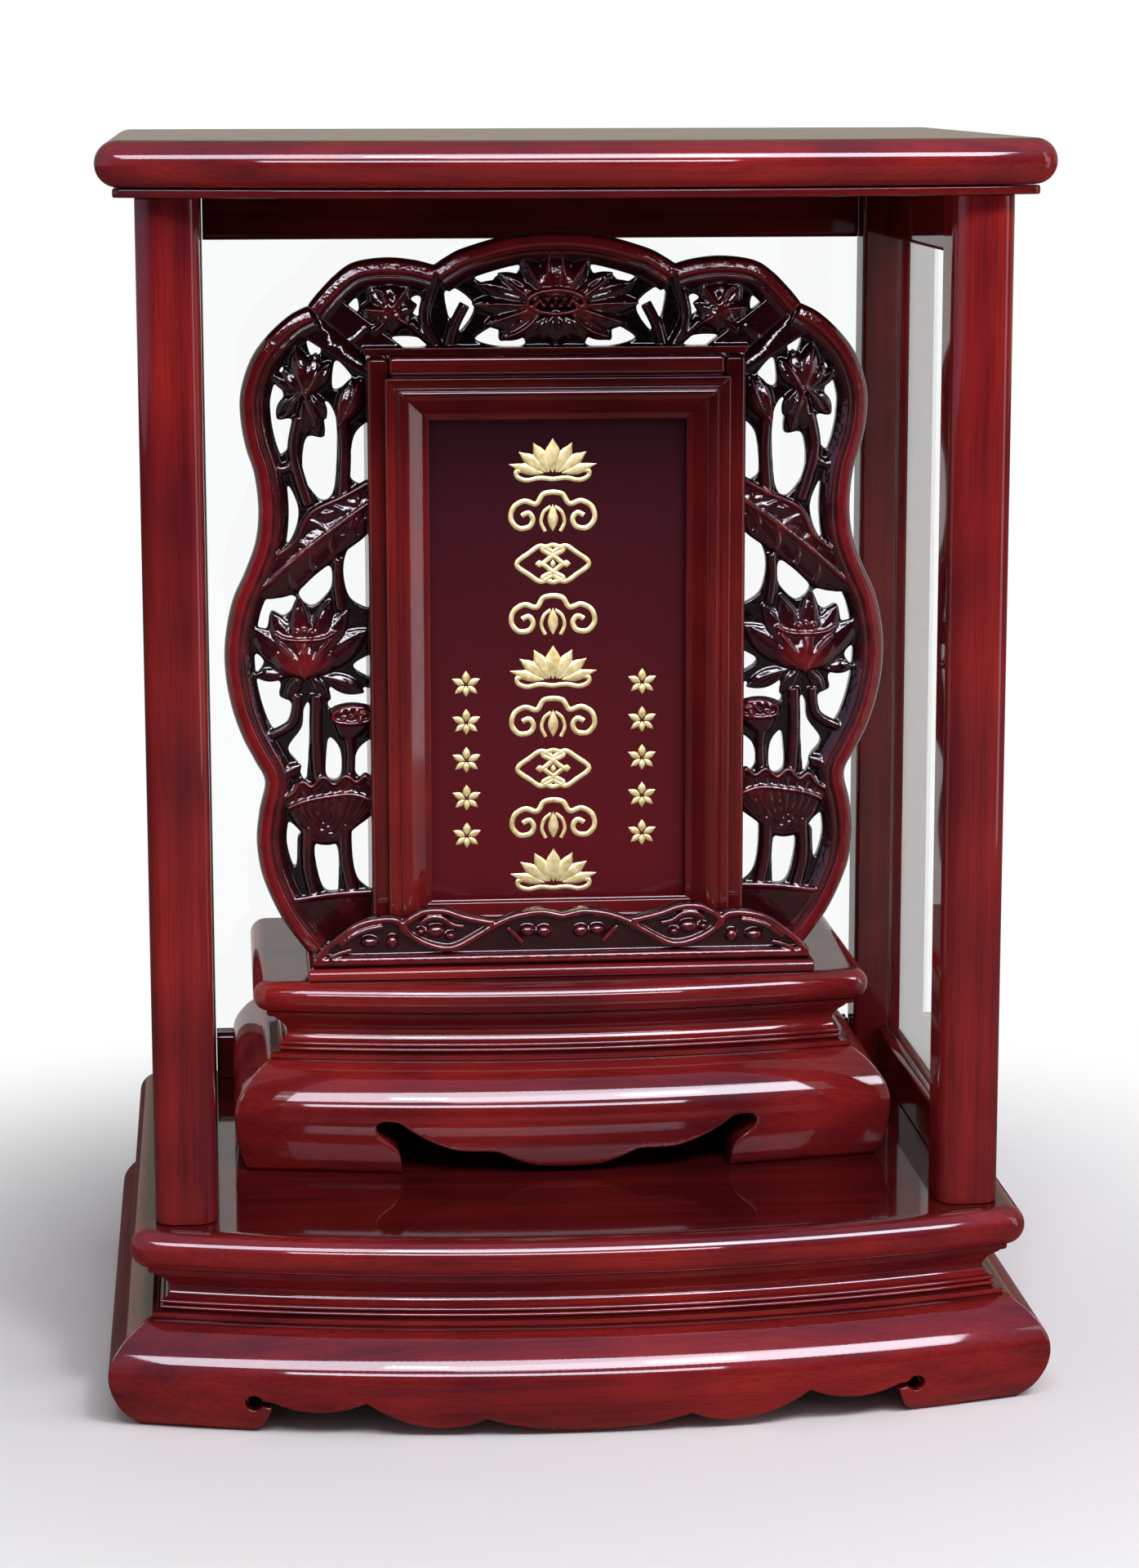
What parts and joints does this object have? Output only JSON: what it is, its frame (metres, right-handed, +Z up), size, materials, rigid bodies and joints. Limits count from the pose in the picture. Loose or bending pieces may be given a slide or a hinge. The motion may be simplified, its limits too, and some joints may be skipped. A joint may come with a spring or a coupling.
{
  "type": "ancestor shrine",
  "caption": "Lacquered wood glass case, open at the front, holding a spirit tablet in a pierced lotus surround on a scroll-foot stand.",
  "frame": {"origin": "on the floor under the middle of the whole shrine", "axes": "+Z up, -Y towards the open front, +X to the right seen from the front"},
  "size_m": [0.4046, 0.3236, 0.54],
  "materials": {
    "red_lacquer": "glossy dark-red lacquer over rosewood",
    "dark_lacquer": "glossy brown-red lacquer",
    "carved_lacquer": "glossy lacquer over carving, dark in the hollows",
    "bare_wood": "planed, unfinished",
    "slip_wood": "planed pale wood",
    "pane_glass": "clear float glass",
    "gold_leaf": "pale gilt"
  },
  "bodies": {
    "case": {"base_apron_front": "red_lacquer", "base_apron_left": "red_lacquer", "base_apron_rear": "red_lacquer", "base_apron_right": "red_lacquer", "base_block_front_left": "bare_wood", "base_block_front_right": "bare_wood", "base_block_rear_left": "bare_wood", "base_block_rear_right": "bare_wood", "base_board": "red_lacquer", "base_waist_front": "red_lacquer", "base_waist_left": "red_lacquer", "base_waist_rear": "red_lacquer", "base_waist_right": "red_lacquer", "bottom_rail_left": "red_lacquer", "bottom_rail_rear": "red_lacquer", "bottom_rail_right": "red_lacquer", "canopy_board": "red_lacquer", "canopy_fillet": "dark_lacquer", "glass_left": "pane_glass", "glass_rear": "pane_glass", "glass_right": "pane_glass", "post_front_left": "red_lacquer", "post_front_right": "red_lacquer", "post_rear_left": "red_lacquer", "post_rear_right": "red_lacquer", "top_rail_left": "red_lacquer", "top_rail_rear": "red_lacquer", "top_rail_right": "red_lacquer"},
    "tablet": {"box_bottom": "dark_lacquer", "box_left": "dark_lacquer", "box_right": "dark_lacquer", "box_top": "dark_lacquer", "carved_rail": "carved_lacquer", "frame_bottom": "red_lacquer", "frame_left": "red_lacquer", "frame_right": "red_lacquer", "frame_top": "red_lacquer", "fret_crest": "carved_lacquer", "fret_wing_left": "carved_lacquer", "fret_wing_right": "carved_lacquer", "inscription_board": "red_lacquer", "stand_apron_front": "red_lacquer", "stand_apron_left": "red_lacquer", "stand_apron_rear": "red_lacquer", "stand_apron_right": "red_lacquer", "stand_block_front_left": "bare_wood", "stand_block_front_right": "bare_wood", "stand_block_rear_left": "bare_wood", "stand_block_rear_right": "bare_wood", "stand_board": "red_lacquer", "stand_step": "red_lacquer", "stand_waist_front": "red_lacquer", "stand_waist_left": "red_lacquer", "stand_waist_rear": "red_lacquer", "stand_waist_right": "red_lacquer"},
    "rear_cover": {"rear_cover": "dark_lacquer"},
    "name_slip_1": {"name_slip_1": "slip_wood"},
    "name_slip_2": {"name_slip_2": "slip_wood"},
    "name_slip_3": {"name_slip_3": "slip_wood"}
  },
  "joints": [
    {"name": "tablet_slide", "type": "slide", "parent": "case", "child": "tablet", "axis": [0, -1, 0], "range_m": [0, 0.3]},
    {"name": "rear_cover_lift", "type": "slide", "parent": "tablet", "child": "rear_cover", "axis": [0, 0, 1], "range_m": [0, 0.07]},
    {"name": "name_slip_1_lift", "type": "slide", "parent": "tablet", "child": "name_slip_1", "axis": [0, 0, 1], "range_m": [0, 0.04]},
    {"name": "name_slip_2_lift", "type": "slide", "parent": "tablet", "child": "name_slip_2", "axis": [0, 0, 1], "range_m": [0, 0.04]},
    {"name": "name_slip_3_lift", "type": "slide", "parent": "tablet", "child": "name_slip_3", "axis": [0, 0, 1], "range_m": [0, 0.04]}
  ]
}
